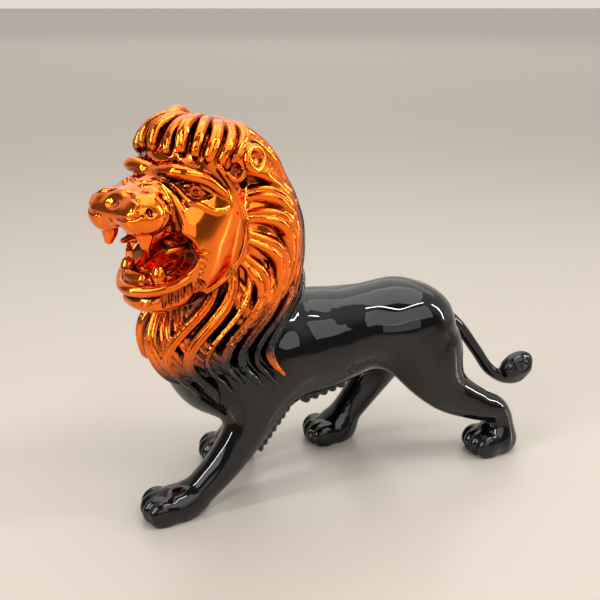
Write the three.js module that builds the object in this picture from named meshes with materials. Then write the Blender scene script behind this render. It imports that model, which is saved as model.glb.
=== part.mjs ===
// A striding lion figurine, slip-cast in one piece of ceramic: black glaze on the body, and a copper-orange
// plated head and mane. Millimetres, +Z up. The lion faces -Y, its left side is +X, its feet stand on z = 0.
// The form is modelled as clay is: lumps and rolls are pressed onto each other with a soft seam, hollows are
// cut with a soft edge, and the skin of the whole is then found on a grid and thinned to a faceted solid.
import * as THREE from "three";
import { edgeTable, triTable } from "three/addons/objects/MarchingCubes.js";

// Driving dimensions, in millimetres unless a name says otherwise.
const stance = 35; // half the distance between the left and the right feet
const footAt = { leftFront: -124, rightFront: -60, rightHind: 32, leftHind: 147 }; // along Y
const backHeight = 146; // the spine behind the mane
const bellyHeight = 66; // the lowest line of the barrel
const headCentre = new THREE.Vector3(23, -97, 220);
const headTurnDegrees = 27; // towards the lion's left
const headHalfWidth = 40; // across the cheekbones
const maneReach = { forward: 41, sideways: 50, up: 52 }; // half sizes of the mane's core around the head
const tailThickness = 9.5;
const lockHalfWidth = 6.8;
const lockHalfHeight = 6.2;
const gridStep = 2.4; // the grid that finds the skin
const triangleTarget = 9800;

const v3 = (x, y, z) => new THREE.Vector3(x, y, z);
const smooth = THREE.MathUtils.smoothstep;
const worldAxes = [v3(1, 0, 0), v3(0, 1, 0), v3(0, 0, 1)];
const acrossBody = v3(1, 0, 0);
const down = v3(0, 0, -1);
const bothSides = [1, -1];
const clay = []; // every lump and cut, in the order they are made

// Two distances joined with a seam as wide as the blend.
function softMin(a, b, blend) {
  const h = Math.max(blend - Math.abs(a - b), 0) / blend;
  return Math.min(a, b) - (h * h * blend) / 4;
}

function press(shape, blend) {
  clay.push({ ...shape, blend, cut: false });
}

function carve(shape, blend) {
  clay.push({ ...shape, blend, cut: true });
}

// The distance from a point, given along three axes, to an ellipsoid of these half sizes.
function toEllipsoid(u, v, w, a, b, c) {
  const far = Math.hypot(u / a, v / b, w / c);
  const steep = Math.hypot(u / (a * a), v / (b * b), w / (c * c));
  return steep < 1e-9 ? -Math.min(a, b, c) : (far * (far - 1)) / steep;
}

// A ball or egg. The half sizes run along the axes, which are three unit vectors.
function lump(centre, a, b, c, axes = worldAxes) {
  const offset = v3(0, 0, 0);
  return {
    centre,
    reach: Math.max(a, b, c),
    distance(p) {
      offset.subVectors(p, centre);
      return toEllipsoid(offset.dot(axes[0]), offset.dot(axes[1]), offset.dot(axes[2]), a, b, c);
    },
  };
}

// A roll of clay that follows a smooth curve. Each station is [point, half width, half height]; the width
// runs along the side vectors, one for the whole roll or one for each station.
function roll(stations, sides, steps = 24) {
  const path = new THREE.CatmullRomCurve3(stations.map((s) => s[0]), false, "centripetal");
  const last = stations.length - 1;
  const along = Array.from({ length: steps + 1 }, (_, i) => {
    const t = (i / steps) * last;
    const from = Math.min(Math.floor(t), last - 1);
    const share = t - from;
    const ease = share * share * (3 - 2 * share);
    const mixed = (k) => THREE.MathUtils.lerp(stations[from][k], stations[from + 1][k], ease);
    const tangent = path.getTangent(i / steps);
    const side = Array.isArray(sides) ? sides[from].clone().lerp(sides[from + 1], share) : sides.clone();
    side.addScaledVector(tangent, -side.dot(tangent)).normalize();
    return { at: path.getPoint(i / steps), side, tangent, wide: mixed(1), high: mixed(2) };
  });
  const centre = new THREE.Box3().setFromPoints(along.map((s) => s.at)).getCenter(v3(0, 0, 0));
  const reach = Math.max(...along.map((s) => s.at.distanceTo(centre) + Math.max(s.wide, s.high)));
  const segments = along.slice(1).map((b, i) => {
    const run = b.at.clone().sub(along[i].at);
    return { a: along[i], b, run, lengthSq: Math.max(run.lengthSq(), 1e-9) };
  });
  const offset = v3(0, 0, 0);
  const side = v3(0, 0, 0);
  const tangent = v3(0, 0, 0);
  const rise = v3(0, 0, 0);
  return {
    centre,
    reach,
    distance(p) {
      let best = Infinity;
      let found = null;
      let share = 0;
      for (const s of segments) {
        offset.subVectors(p, s.a.at);
        const t = THREE.MathUtils.clamp(offset.dot(s.run) / s.lengthSq, 0, 1);
        const gap = offset.addScaledVector(s.run, -t).lengthSq();
        if (gap < best) {
          best = gap;
          found = s;
          share = t;
        }
      }
      const { a, b, run } = found;
      offset.subVectors(p, a.at).addScaledVector(run, -share);
      tangent.copy(a.tangent).lerp(b.tangent, share).normalize();
      side.copy(a.side).lerp(b.side, share).normalize();
      rise.crossVectors(tangent, side);
      const wide = a.wide + (b.wide - a.wide) * share;
      const high = a.high + (b.high - a.high) * share;
      const least = Math.min(wide, high);
      return toEllipsoid(offset.dot(side), offset.dot(rise), offset.dot(tangent), wide, high, least);
    },
  };
}

// The distance from a point to the clay as it stands, negative inside.
function field(p, pieces = clay) {
  let d = 1e3;
  for (const piece of pieces) {
    const nearest = p.distanceTo(piece.centre) - piece.reach;
    if (piece.cut) {
      if (nearest < piece.blend - d) d = -softMin(-d, piece.distance(p), piece.blend);
    } else if (nearest < d + piece.blend) {
      d = softMin(d, piece.distance(p), piece.blend);
    }
  }
  return d;
}

// The head's own frame: forward along the face, to the lion's left, and up.
const turn = THREE.MathUtils.degToRad(headTurnDegrees);
const forward = v3(Math.sin(turn), -Math.cos(turn), 0);
const leftward = v3(Math.cos(turn), Math.sin(turn), 0);
const upward = v3(0, 0, 1);
const headAxes = [forward, leftward, upward];
const headPoint = (f, l, u) =>
  headCentre.clone().addScaledVector(forward, f).addScaledVector(leftward, l).addScaledVector(upward, u);
const headLump = (f, l, u, a, b, c) => lump(headPoint(f, l, u), a, b, c, headAxes);
const headRoll = (stations, sides, steps) =>
  roll(stations.map(([f, l, u, width, height]) => [headPoint(f, l, u), width, height]), sides, steps);

function barrel() {
  const rib = backHeight - bellyHeight;
  const middle = (backHeight + bellyHeight) / 2;
  press(roll([
    [v3(0, -70, middle + 6), 40, rib * 0.56],
    [v3(0, -30, middle), 42, rib * 0.56],
    [v3(0, 8, middle + 1), 40, rib * 0.5],
    [v3(0, 45, middle + 5), 34, rib * 0.43],
    [v3(0, 76, middle + 8), 35, rib * 0.41],
    [v3(0, 92, middle + 3), 34, rib * 0.35],
    [v3(0, 104, middle - 7), 27, rib * 0.23],
  ], acrossBody, 36), 1);
}

// A leg from its joint stations down to a foot with four toes that points forward.
function leg(stations, x, y) {
  press(roll(stations, acrossBody, 24), 18);
  press(lump(v3(x, y + 4, 8.5), 16, 20, 14.5), 8);
  for (const toe of [-1.5, -0.5, 0.5, 1.5])
    press(lump(v3(x + toe * 7.8, y - 12 + Math.abs(toe) * 2.6, 8.5), 5.9, 11, 10.5), 2.6);
}

function legs() {
  leg([
    [v3(20, -44, 106), 24, 34],
    [v3(29, -54, 84), 20, 27],
    [v3(34, -66, 58), 15.5, 17],
    [v3(35, -84, 34), 13, 13.5],
    [v3(35, footAt.leftFront + 20, 15), 12.5, 12],
  ], stance, footAt.leftFront);
  leg([
    [v3(-20, -44, 106), 24, 34],
    [v3(-28, -45, 84), 20, 26],
    [v3(-33, -45, 58), 15, 18],
    [v3(-35, -47, 34), 13, 14],
    [v3(-35, footAt.rightFront + 8, 16), 13, 13],
  ], -stance, footAt.rightFront);
  leg([
    [v3(16, 80, 112), 23.5, 31],
    [v3(23, 91, 84), 21.5, 28.5],
    [v3(29, 108, 58), 16, 19],
    [v3(34, 133, 43), 12.5, 13.5],
    [v3(35, 150, 35), 11, 11.2],
    [v3(35, 155, 22), 11.5, 11.5],
    [v3(35, footAt.leftHind + 4, 14), 12, 13],
  ], stance, footAt.leftHind);
  leg([
    [v3(-16, 82, 108), 23.5, 31],
    [v3(-24, 80, 83), 21, 27],
    [v3(-32, 72, 56), 15, 18],
    [v3(-35, 56, 32), 12.5, 14],
    [v3(-35, footAt.rightHind + 10, 16), 12, 13],
  ], -stance, footAt.rightHind);
}

// Axes turned about X, for an egg that leans forward or back.
function leaningAxes(degrees) {
  const lean = THREE.MathUtils.degToRad(degrees);
  return worldAxes.map((axis) => axis.clone().applyAxisAngle(acrossBody, lean));
}

function tail() {
  const r = tailThickness / 2;
  press(roll([
    [v3(0, 90, 123), r * 2.3, r * 2.3],
    [v3(0, 110, 116), r * 1.6, r * 1.6],
    [v3(1, 131, 101), r * 1.1, r * 1.1],
    [v3(3, 150, 76), r, r],
    [v3(4, 164, 57), r, r],
    [v3(5, 180, 47), r, r],
    [v3(6, 192, 47), r * 1.1, r * 1.1],
    [v3(6, 199, 54), r * 1.3, r * 1.1],
  ], acrossBody, 40), 6);
  press(lump(v3(7, 189, 57.5), 8.5, 16.5, 12, leaningAxes(20)), 3);
}

function maneCore() {
  const m = maneReach;
  press(headLump(-32, 0, -18, m.forward, m.sideways, m.up), 10);
  press(headRoll([[4, 0, 38, 33, 17], [-14, 0, 38, 36, 18], [-34, 0, 25, 36, 20]], leftward, 12), 10);
  press(lump(v3(6, -70, 168), 48, 50, 54), 14);
  press(lump(v3(4, -82, 130), 42, 46, 48), 14);
  press(lump(v3(2, -76, 94), 34, 32, 32), 14);
}

function skull() {
  press(headLump(0, 0, 8, 34, headHalfWidth, 46), 6);
  press(headRoll([[0, -22, 37, 20, 18], [4, 0, 39, 20, 18], [0, 22, 37, 20, 18]], forward, 8), 6);
  for (const s of bothSides) press(headLump(14, 21 * s, -14, 29, 19, 36), 8);
  press(headLump(26, 0, -34, 27, 25, 25), 6);
}

// A wide boxy muzzle with a flat front, the nose on top of it, and a bridge up to the brows.
function muzzle() {
  press(headRoll([[14, 0, 28, 19, 10], [40, 0, 19, 17, 9], [54, 0, 15, 16, 9]], leftward, 12), 4);
  press(headRoll([[51, -16, 9, 18, 13], [52, 0, 10, 17, 12], [51, 16, 9, 18, 13]], forward, 8), 4);
  for (const s of bothSides) {
    press(headLump(54, 15 * s, 6.4 + s, 16, 13.5, 12), 3);
    press(headRoll([[38, 11 * s, 20, 8, 7], [48, 15 * s, 15, 8, 7.5], [56, 17 * s, 10, 7, 7]], leftward, 8), 4);
  }
  press(headLump(56, 0, 14, 11, 13, 9.5), 1.2);
  for (const s of bothSides) {
    press(headLump(56, 15 * s, 15, 9.5, 8.5, 7.5), 2);
    carve(headLump(59.5, 22.5 * s, 12.8, 3.2, 2.8, 2.6), 1);
  }
  carve(headRoll([[67, 0, 6, 1.2, 2], [69, 0, 0, 1.8, 3], [66, 0, -7, 1.8, 3]], leftward, 8), 1);
  carve(headLump(66, 0, 17, 4, 6, 4), 2);
}

// A fold from the bridge down each cheek, and a hollow behind the muzzle.
function sneer() {
  for (const s of bothSides) {
    carve(headRoll([[46, 22 * s, 18, 1, 1.5], [42, 27 * s, 10, 2, 2.5], [38, 27 * s, 0, 3, 3.5],
      [36, 26 * s, -8, 3, 4]], leftward, 12), 1.5);
    press(headRoll([[36, 13 * s, 28, 1.6, 1.6], [31, 22 * s, 21, 2.2, 2.2], [27, 28 * s, 12, 2.2, 2.2],
      [24, 32 * s, 2, 2, 2], [18, 35 * s, -8, 1.4, 1.4]], leftward, 16), 1);
  }
}

// A thick bar across the forehead, with a second fold under it that covers each eye.
function brows() {
  press(headRoll([[27, -14, 32, 6, 8], [28, 0, 30, 5.5, 7], [27, 14, 32, 6, 8]], upward, 8), 3);
  for (const s of bothSides) {
    press(headRoll([[30, 9 * s, 32.5, 4.6, 6], [30, 20 * s, 33, 5.2, 6.5], [26, 28 * s, 31.5, 4.6, 5.5],
      [17, 34 * s, 27, 3.8, 4.5], [7, 38.5 * s, 18, 2.6, 3]], upward, 16), 1.5);
    press(headRoll([[29, 12 * s, 28, 2.4, 2.4], [28, 21 * s, 29.5, 2.8, 2.8], [21, 29 * s, 28.5, 2.8, 2.8],
      [11, 35 * s, 22, 2.4, 2.4], [3, 38.5 * s, 13, 1.4, 1.4]], upward, 14), 1);
  }
}

// Almond eyes in their sockets, with a lid above and below, and a fold under each.
function eyes() {
  const lidSteps = 8;
  for (const s of bothSides) {
    const along = headPoint(-11, 8 * s, -4).sub(headCentre).normalize();
    const out = along.clone().cross(upward).multiplyScalar(s).normalize();
    const rise = out.clone().cross(along).multiplyScalar(s);
    const axes = [along, out, rise];
    const middle = headPoint(18.5, 26 * s, 20);
    carve(lump(headPoint(22, 29.5 * s, 20.5), 9.5, 4.2, 5.5, axes), 2);
    press(lump(middle, 8.5, 5.2, 6, axes), 0.6);
    for (const side of bothSides) {
      const thick = side > 0 ? 1.7 : 1.2;
      const lid = [];
      for (let n = 0; n <= lidSteps; n++) {
        const t = Math.PI * n / lidSteps;
        const at = middle.clone().addScaledVector(along, 9.5 * Math.cos(t));
        at.addScaledVector(out, 2.2 + 2.4 * Math.sin(t)).addScaledVector(rise, 4.2 * side * Math.sin(t));
        lid.push([at, thick, thick]);
      }
      press(roll(lid, out, 16), 0.5);
    }
    press(headRoll([[31, 23 * s, 12, 0.9, 0.9], [25, 28 * s, 8, 1.4, 1.4], [17, 33 * s, 5, 1.4, 1.4],
      [9, 37 * s, 5, 0.8, 0.8]], upward, 12), 1);
  }
}

// Round ears, each a thick ring round a bowl, and a curl in front that runs down to the hairline.
function ears() {
  const rimSteps = 12;
  for (const s of bothSides) {
    carve(headLump(-10, 56 * s, 39, 12, 8, 12), 2);
    press(headLump(-10, 44 * s, 39, 9.5, 7, 9.5), 2);
    carve(headLump(-9.5, 52 * s, 39.5, 5.2, 5.2, 5.2), 0.8);
    const rim = [];
    for (let n = 0; n <= rimSteps; n++) {
      const t = -2.6 + 6 * n / rimSteps;
      rim.push([-10 + 7 * Math.cos(t), (49.5 - 1.5 * Math.sin(t)) * s, 39 + 7.2 * Math.sin(t), 2.5, 2.5]);
    }
    press(headRoll(rim, leftward, 30), 0.6);
    press(headRoll([[-4, 46 * s, 33, 2, 2], [-1, 45.5 * s, 28, 2.4, 2.4], [3, 43 * s, 27, 2, 2],
      [6, 41 * s, 31, 1.2, 1.2]], leftward, 12), 0.8);
  }
}

// How far forward the edge of the face is, for a height in the head's frame.
const faceEdgeAt = (u) => -9 + 26 * ((u + 7) / 46) ** 2;

// The raised line where the face ends and the mane starts.
function faceEdge() {
  const top = 34;
  const bottom = -56;
  const steps = 11;
  for (const s of bothSides) {
    const line = [];
    for (let n = 0; n <= steps; n++) {
      const u = THREE.MathUtils.lerp(top, bottom, n / steps);
      line.push([onto(headPoint(faceEdgeAt(u), 42 * s, u)), 2.2, 2.2]);
    }
    press(roll(line, leftward, 30), 1);
  }
}

// A wide gape, the rolled lower lip, chin, tongue and teeth, and the fold round the corners of the mouth.
function mouth() {
  const gape = THREE.MathUtils.degToRad(10);
  const tilted = headAxes.map((axis) => axis.clone().applyAxisAngle(leftward, gape));
  carve(lump(headPoint(56, 0, -19), 43, 29, 17, tilted), 2.5);
  carve(headRoll([[40, -26, -18, 16, 14], [42, 0, -19, 16, 14], [40, 26, -18, 16, 14]], forward, 8), 2.5);
  carve(headLump(30, 0, -25, 24, 18, 15), 3);
  press(headRoll([[42, -9, -51, 11, 8], [44, 0, -51, 11, 8], [42, 9, -51, 11, 8]], forward, 8), 2);
  press(headLump(30, 0, -50, 20, 23, 11), 5);
  const leftLip = [[25, 30, -31], [33, 28.5, -34.5], [42, 24, -38.5], [49, 17, -41], [55, 8, -42]];
  const rightLip = leftLip.map(([f, l, u]) => [f, -l, u]).reverse();
  press(headRoll([...leftLip, [57, 0, -42], ...rightLip].map((p) => [...p, 3.9, 3.9]), upward, 40), 1.5);
  press(headRoll([[6, 0, -31, 14, 7], [24, 0, -33, 14, 7], [40, 0, -36, 11, 5]], leftward, 12), 2);
  carve(headRoll([[14, 0, -25, 7, 5], [26, 0, -26, 7, 4.5], [38, 0, -30, 5, 3]], leftward, 10), 2);
  for (const s of bothSides) {
    press(headRoll([[48, 9 * s, 25.5, 1.6, 1.6], [40, 14 * s, 24.5, 2.4, 2.4], [37, 21 * s, 19, 3, 3],
      [34.5, 26 * s, 10, 3.2, 3.2], [32, 29 * s, 1, 3.4, 3.4], [27, 31.5 * s, -8, 3.6, 3.6],
      [22.5, 32 * s, -19, 3.6, 3.6], [21.5, 32 * s, -27, 3.6, 3.6], [27, 30 * s, -33, 3.6, 3.6]],
    leftward, 26), 1.5);
    press(headRoll([[42, 22 * s, -16, 2, 2], [28, 23 * s, -15, 2.4, 2.4], [14, 16 * s, -19, 2.6, 2.6],
      [9, 8 * s, -26, 2.6, 2.6]], upward, 14), 1.2);
    press(headRoll([[56, 17 * s, 0, 7, 6], [56, 17.5 * s, s - 7, 5.4, 4.6], [56.5, 18 * s, s - 11, 3.4, 3]],
      leftward, 8), 1);
    press(headLump(44.5, 15.5 * s, -33, 5, 5, 8), 1);
  }
  press(headRoll([[51, -7, -36, 3.4, 5], [52, 0, -36, 3.4, 5], [51, 7, -36, 3.4, 5]], forward, 8), 1);
}

barrel();
legs();
tail();
maneCore();
const combBed = [...clay];

// A unit vector out of the surface of the clay.
function outward(p, pieces) {
  const e = 0.5;
  const slope = worldAxes.map((axis) =>
    field(p.clone().addScaledVector(axis, e), pieces) - field(p.clone().addScaledVector(axis, -e), pieces));
  return v3(...slope).normalize();
}

function onto(p, pieces) {
  for (let i = 0; i < 4; i++) p.addScaledVector(outward(p, pieces), -field(p, pieces));
  return p;
}

// How hair lies, in degrees from straight back (0) to straight down (90). It leaves the edge of the face
// nearly straight back, turns down at the back of the head and forward again round the neck, and the tips
// turn back.
function combAngle(p) {
  const local = p.clone().sub(headCentre);
  const u = local.z;
  const behind = faceEdgeAt(THREE.MathUtils.clamp(u, -55, 45)) - local.dot(forward);
  const leaving = -5 + 62 * smooth(22 - u, 0, 75);
  const turned = 38 + 62 * smooth(45 - u, 0, 60) + 20 * smooth(-10 - u, 0, 50);
  return THREE.MathUtils.lerp(leaving, turned, smooth(behind, 4, 46)) - 62 * smooth(142 - p.z, 0, 40);
}

// One lock of hair, combed over the bed from its root. Its root is tucked under and its tip lies on top.
function lock(root, length, size) {
  const steps = 10;
  const p = onto(root.clone(), combBed);
  const ahead = v3(Math.sin(turn / 2), -Math.cos(turn / 2), 0);
  const stations = [];
  const sides = [];
  for (let i = 0; i <= steps; i++) {
    const share = i / steps;
    const normal = outward(p, combBed);
    const angle = THREE.MathUtils.degToRad(combAngle(p));
    const heading = ahead.clone().multiplyScalar(-Math.cos(angle)).addScaledVector(down, Math.sin(angle));
    heading.addScaledVector(normal, -heading.dot(normal)).normalize();
    const girth = size * (0.8 + 0.2 * smooth(share, 0, 0.3)) * Math.sqrt(Math.max(1 - share ** 3, 0.03));
    const rise = -3 + 4.5 * smooth(share, 0, 0.4) + share;
    stations.push([p.clone().addScaledVector(normal, rise), lockHalfWidth * girth, lockHalfHeight * girth]);
    sides.push(heading.clone().cross(normal).normalize());
    p.addScaledVector(heading, length / steps);
    onto(p, combBed);
  }
  press(roll(stations, sides, 18), 1);
}

// Locks behind the edge of the face on each side, rings of them further back, and a bib under the chin.
function mane() {
  const edgeLocks = 7;
  for (let n = 0; n < edgeLocks; n++) {
    const u = THREE.MathUtils.lerp(46, -44, n / (edgeLocks - 1));
    const length = 70 - 30 * smooth(-u, -10, 44);
    for (const s of bothSides) lock(headPoint(faceEdgeAt(u) - 4, 43 * s, u), length, 1.15);
  }
  const rings = [
    { count: 7, from: 14, to: 129, f: -28, radius: 52, length: 74 },
    { count: 6, from: 12, to: 124, f: -52, radius: 44, length: 80 },
  ];
  for (const { count, from, to, f, radius, length } of rings)
    for (let n = 0; n < count; n++) {
      const angle = THREE.MathUtils.degToRad(THREE.MathUtils.lerp(from, to, n / (count - 1)));
      const l = radius * Math.sin(angle);
      const u = radius * Math.cos(angle) - 4;
      const shortening = 1 + 0.5 * Math.min(0, Math.cos(angle));
      for (const s of bothSides) lock(headPoint(f, l * s, u), length * shortening, 1.2);
    }
  for (let n = -2; n <= 2; n++) lock(v3(8 + n * 12, -140, 160 - Math.abs(n) * 8), 56, 1);
  for (const [f, l] of [[26, -31], [36, -19], [41, -7], [41, 7], [36, 19]]) lock(headPoint(f, l, -62), 62, 1);
  for (const l of [-27, -9, 9, 27]) lock(headPoint(2, l, 62), 92, 1.2);
}

// Long wavy locks down each side of the neck. Each drops from under the cheek, sweeps forward, and swings
// back at its tip.
function neckLocks() {
  const locks = 7;
  const steps = 9;
  for (const s of bothSides)
    for (let n = 0; n < locks; n++) {
      const wide = 5 + 1.3 * Math.sin(2.3 * n);
      const length = 98 - 2 * n + 4 * Math.sin(1.7 * n);
      const along = [];
      for (let i = 0; i <= steps; i++) {
        const fall = length * i / steps;
        const y = -90 + 10.5 * n - 27 * smooth(fall, 8, 66) + 20 * smooth(fall, 64, 98);
        const p = v3(6 + 60 * s, y, 186 - fall);
        for (let round = 0; round < 12; round++) p.x -= s * field(p, combBed);
        along.push(p);
      }
      const stations = [];
      const sides = [];
      along.forEach((p, i) => {
        const share = i / steps;
        const normal = outward(p, combBed);
        const heading = along[Math.min(i + 1, steps)].clone().sub(along[Math.max(i - 1, 0)]);
        const girth = (0.75 + 0.25 * smooth(share, 0, 0.3)) * Math.sqrt(Math.max(1 - share ** 3, 0.03));
        const rise = -2 + 5 * smooth(share, 0, 0.3);
        stations.push([p.clone().addScaledVector(normal, rise), wide * girth, 8 * girth]);
        sides.push(heading.cross(normal).normalize());
      });
      press(roll(stations, sides, 24), 0.6);
    }
}

// The forelock: thick tongues of hair side by side that stand on the hairline and curl back over the crown,
// round to the ears, and a tuft on the crown.
function forelock() {
  const tongues = 12;
  const spread = 86;
  for (let n = 0; n < tongues; n++) {
    const angle = THREE.MathUtils.degToRad(THREE.MathUtils.lerp(-spread, spread, n / (tongues - 1)));
    const f = Math.cos(angle) ** 0.7;
    const l = Math.sign(angle) * Math.abs(Math.sin(angle)) ** 0.9;
    const side = leftward.clone().applyAxisAngle(upward, angle);
    const inner = 1 - Math.abs(l);
    const low = 43 - 6 * Math.abs(l) ** 3 + 1.6 * Math.sin(1.9 * n) * inner;
    const lean = 11 * Math.abs(l) ** 3 + 2 * Math.sin(2.4 * n) * inner;
    const wide = n % 2 ? 4.9 : 4;
    press(headRoll([
      [-4 + 27 * f, 40 * l, low - 1, 2.6, 2.2],
      [-4 + 29 * f - lean * 0.1, 41 * l, low + 3, wide * 0.9, 3.8],
      [-5 + 28.5 * f - lean * 0.5, 41 * l, low + 9, wide, 4.6],
      [-6 + 25 * f - lean, 37 * l, low + 15, wide, 4.6],
      [-8 + 15 * f - lean, 27 * l, low + 19, wide, 4.5],
      [-16 - lean, 14 * l, low + 16, 2.5, 2.5],
    ], side, 18), 0.5);
  }
  press(headRoll([[11, -10, 57, 5, 4], [6, -10, 62, 5.5, 5], [-1, -11, 64.5, 5, 5], [-9, -12, 62, 4, 4],
    [-16, -12, 58, 3, 3]], leftward, 10), 1.5);
}

// A twisted cord of hair under the belly that runs out in a long strand, and a serrated fringe down the back
// of the stretched front leg.
function fringes() {
  for (const s of bothSides) {
    for (let n = 0; n < 5; n++)
      press(lump(v3(8 * s, -10 + n * 7.4, 66 + n * 1.9), 8.5, 4.6, 6, leaningAxes(25)), 0.8);
    press(roll([[v3(8 * s, 22, 74), 4, 4], [v3(9 * s, 36, 78), 3.6, 3.6], [v3(10 * s, 50, 81), 1.6, 1.6]],
      acrossBody, 10), 0.8);
  }
  for (let n = 0; n < 9; n++) {
    const share = n / 8;
    const y = THREE.MathUtils.lerp(-27, -57, share);
    press(lump(v3(32, y, THREE.MathUtils.lerp(84, 42, share)), 6, 3.4, 8, leaningAxes(-8)), 0.8);
  }
}

skull();
muzzle();
sneer();
brows();
eyes();
faceEdge();
mouth();
mane();
neckLocks();
forelock();
ears();
fringes();

// The skin of the clay, found cube by cube on a grid.
function skin() {
  const low = v3(-75, -185, -4);
  const high = v3(95, 225, 305);
  const [nx, ny, nz] = high.clone().sub(low).divideScalar(gridStep).ceil().toArray().map((n) => n + 1);
  const values = new Float32Array(nx * ny * nz);
  const at = (i, j, k) => i + nx * (j + ny * k);
  const p = v3(0, 0, 0);
  const block = 6; // where a whole block is far from the skin, one value does for all of it
  const measure = (i, j, k) => field(p.set(i, j, k).multiplyScalar(gridStep).add(low));
  for (let k0 = 0; k0 < nz; k0 += block)
    for (let j0 = 0; j0 < ny; j0 += block)
      for (let i0 = 0; i0 < nx; i0 += block) {
        const shared = measure(i0 + block / 2, j0 + block / 2, k0 + block / 2);
        const far = Math.abs(shared) > gridStep * block * 1.6;
        for (let k = k0; k < Math.min(k0 + block, nz); k++)
          for (let j = j0; j < Math.min(j0 + block, ny); j++)
            for (let i = i0; i < Math.min(i0 + block, nx); i++) {
              const d = far ? shared : measure(i, j, k);
              values[at(i, j, k)] = Math.max(d, -(low.z + k * gridStep));
            }
      }
  const corners = [[0, 0, 0], [1, 0, 0], [1, 1, 0], [0, 1, 0], [0, 0, 1], [1, 0, 1], [1, 1, 1], [0, 1, 1]];
  const edges = [[0, 1], [1, 2], [2, 3], [3, 0], [4, 5], [5, 6], [6, 7], [7, 4],
    [0, 4], [1, 5], [2, 6], [3, 7]];
  const known = new Map();
  const points = [];
  const faces = [];
  const place = (n) => v3(n % nx, Math.floor(n / nx) % ny, Math.floor(n / nx / ny));
  const vertexOn = (a, b) => {
    const [from, to] = a < b ? [a, b] : [b, a];
    const key = from * values.length + to;
    if (!known.has(key)) {
      const share = THREE.MathUtils.clamp(values[from] / (values[from] - values[to]), 0.02, 0.98);
      known.set(key, points.length);
      points.push(place(from).lerp(place(to), share).multiplyScalar(gridStep).add(low));
    }
    return known.get(key);
  };
  for (let k = 0; k < nz - 1; k++)
    for (let j = 0; j < ny - 1; j++)
      for (let i = 0; i < nx - 1; i++) {
        const ids = corners.map(([x, y, z]) => at(i + x, j + y, k + z));
        const cube = ids.reduce((bits, id, n) => bits | (values[id] < 0 ? 1 << n : 0), 0);
        if (!edgeTable[cube]) continue;
        for (let t = cube * 16; triTable[t] >= 0; t += 3)
          faces.push([2, 1, 0].map((n) => {
            const [a, b] = edges[triTable[t + n]];
            return vertexOn(ids[a], ids[b]);
          }));
      }
  return { points, faces };
}

// Thins the skin to the target by folding away, pass by pass, the edges that change the form least.
function thin(points, faces, target) {
  const quadrics = points.map(() => new Float64Array(10));
  const around = points.map(() => new Set());
  const ab = v3(0, 0, 0);
  const ac = v3(0, 0, 0);
  const squareOn = (a, b, c) => ab.subVectors(b, a).cross(ac.subVectors(c, a));
  faces.forEach((face, n) => {
    const normal = squareOn(...face.map((i) => points[i])).clone();
    const area = normal.length() / 2;
    normal.normalize();
    const plane = [...normal.toArray(), -normal.dot(points[face[0]])];
    for (const i of face) {
      around[i].add(n);
      for (let row = 0, k = 0; row < 4; row++)
        for (let column = row; column < 4; column++) quadrics[i][k++] += plane[row] * plane[column] * area;
    }
  });
  const cost = (q, p) => q[0] * p.x * p.x + q[4] * p.y * p.y + q[7] * p.z * p.z + q[9]
    + 2 * (q[1] * p.x * p.y + q[2] * p.x * p.z + q[5] * p.y * p.z + q[3] * p.x + q[6] * p.y + q[8] * p.z);
  const solver = new THREE.Matrix3();
  const plan = (a, b) => {
    const q = quadrics[a].map((value, k) => value + quadrics[b][k]);
    const middle = points[a].clone().lerp(points[b], 0.5);
    const options = [points[a], points[b], middle];
    solver.set(q[0], q[1], q[2], q[1], q[4], q[5], q[2], q[5], q[7]);
    if (Math.abs(solver.determinant()) > 1e-3) {
      const best = v3(-q[3], -q[6], -q[8]).applyMatrix3(solver.invert());
      if (best.distanceTo(middle) < points[a].distanceTo(points[b])) options.push(best);
    }
    const costs = options.map((p) => cost(q, p));
    const least = Math.min(...costs);
    const p = options[costs.indexOf(least)];
    return { a, b, q, p, cost: least + 1e-3 * points[a].distanceToSquared(points[b]) };
  };
  const neighbours = (i) => new Set([...around[i]].flatMap((n) => faces[n]).filter((j) => j !== i));
  const mayFold = ({ a, b, p }) => {
    const nextToB = neighbours(b);
    if ([...neighbours(a)].filter((i) => nextToB.has(i)).length !== 2) return false;
    for (const i of [a, b])
      for (const n of around[i]) {
        if (faces[n].includes(a) && faces[n].includes(b)) continue;
        const before = squareOn(...faces[n].map((j) => points[j])).clone();
        const after = squareOn(...faces[n].map((j) => (j === i ? p : points[j])));
        const folded = before.dot(after) < 0.25 * before.length() * after.length();
        if (folded || after.length() < 0.02) return false;
      }
    return true;
  };
  let left = faces.length;
  while (left > target) {
    const plans = faces.filter(Boolean).flatMap(([a, b, c]) => [[a, b], [b, c], [c, a]])
      .filter(([a, b]) => a < b).map(([a, b]) => plan(a, b)).sort((p, q) => p.cost - q.cost);
    const touched = new Set();
    const before = left;
    for (const fold of plans.slice(0, Math.ceil(plans.length / 5))) {
      const { a, b } = fold;
      if (left <= target) break;
      if (touched.has(a) || touched.has(b) || !mayFold(fold)) continue;
      for (const i of [...neighbours(a), ...neighbours(b)]) touched.add(i);
      for (const n of around[b]) {
        if (faces[n].includes(a)) {
          for (const i of faces[n]) if (i !== b) around[i].delete(n);
          faces[n] = null;
          left--;
        } else {
          faces[n] = faces[n].map((i) => (i === b ? a : i));
          around[a].add(n);
        }
      }
      points[a] = fold.p.clone();
      quadrics[a] = fold.q;
    }
    if (before === left) break;
  }
  return faces.filter(Boolean);
}

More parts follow.
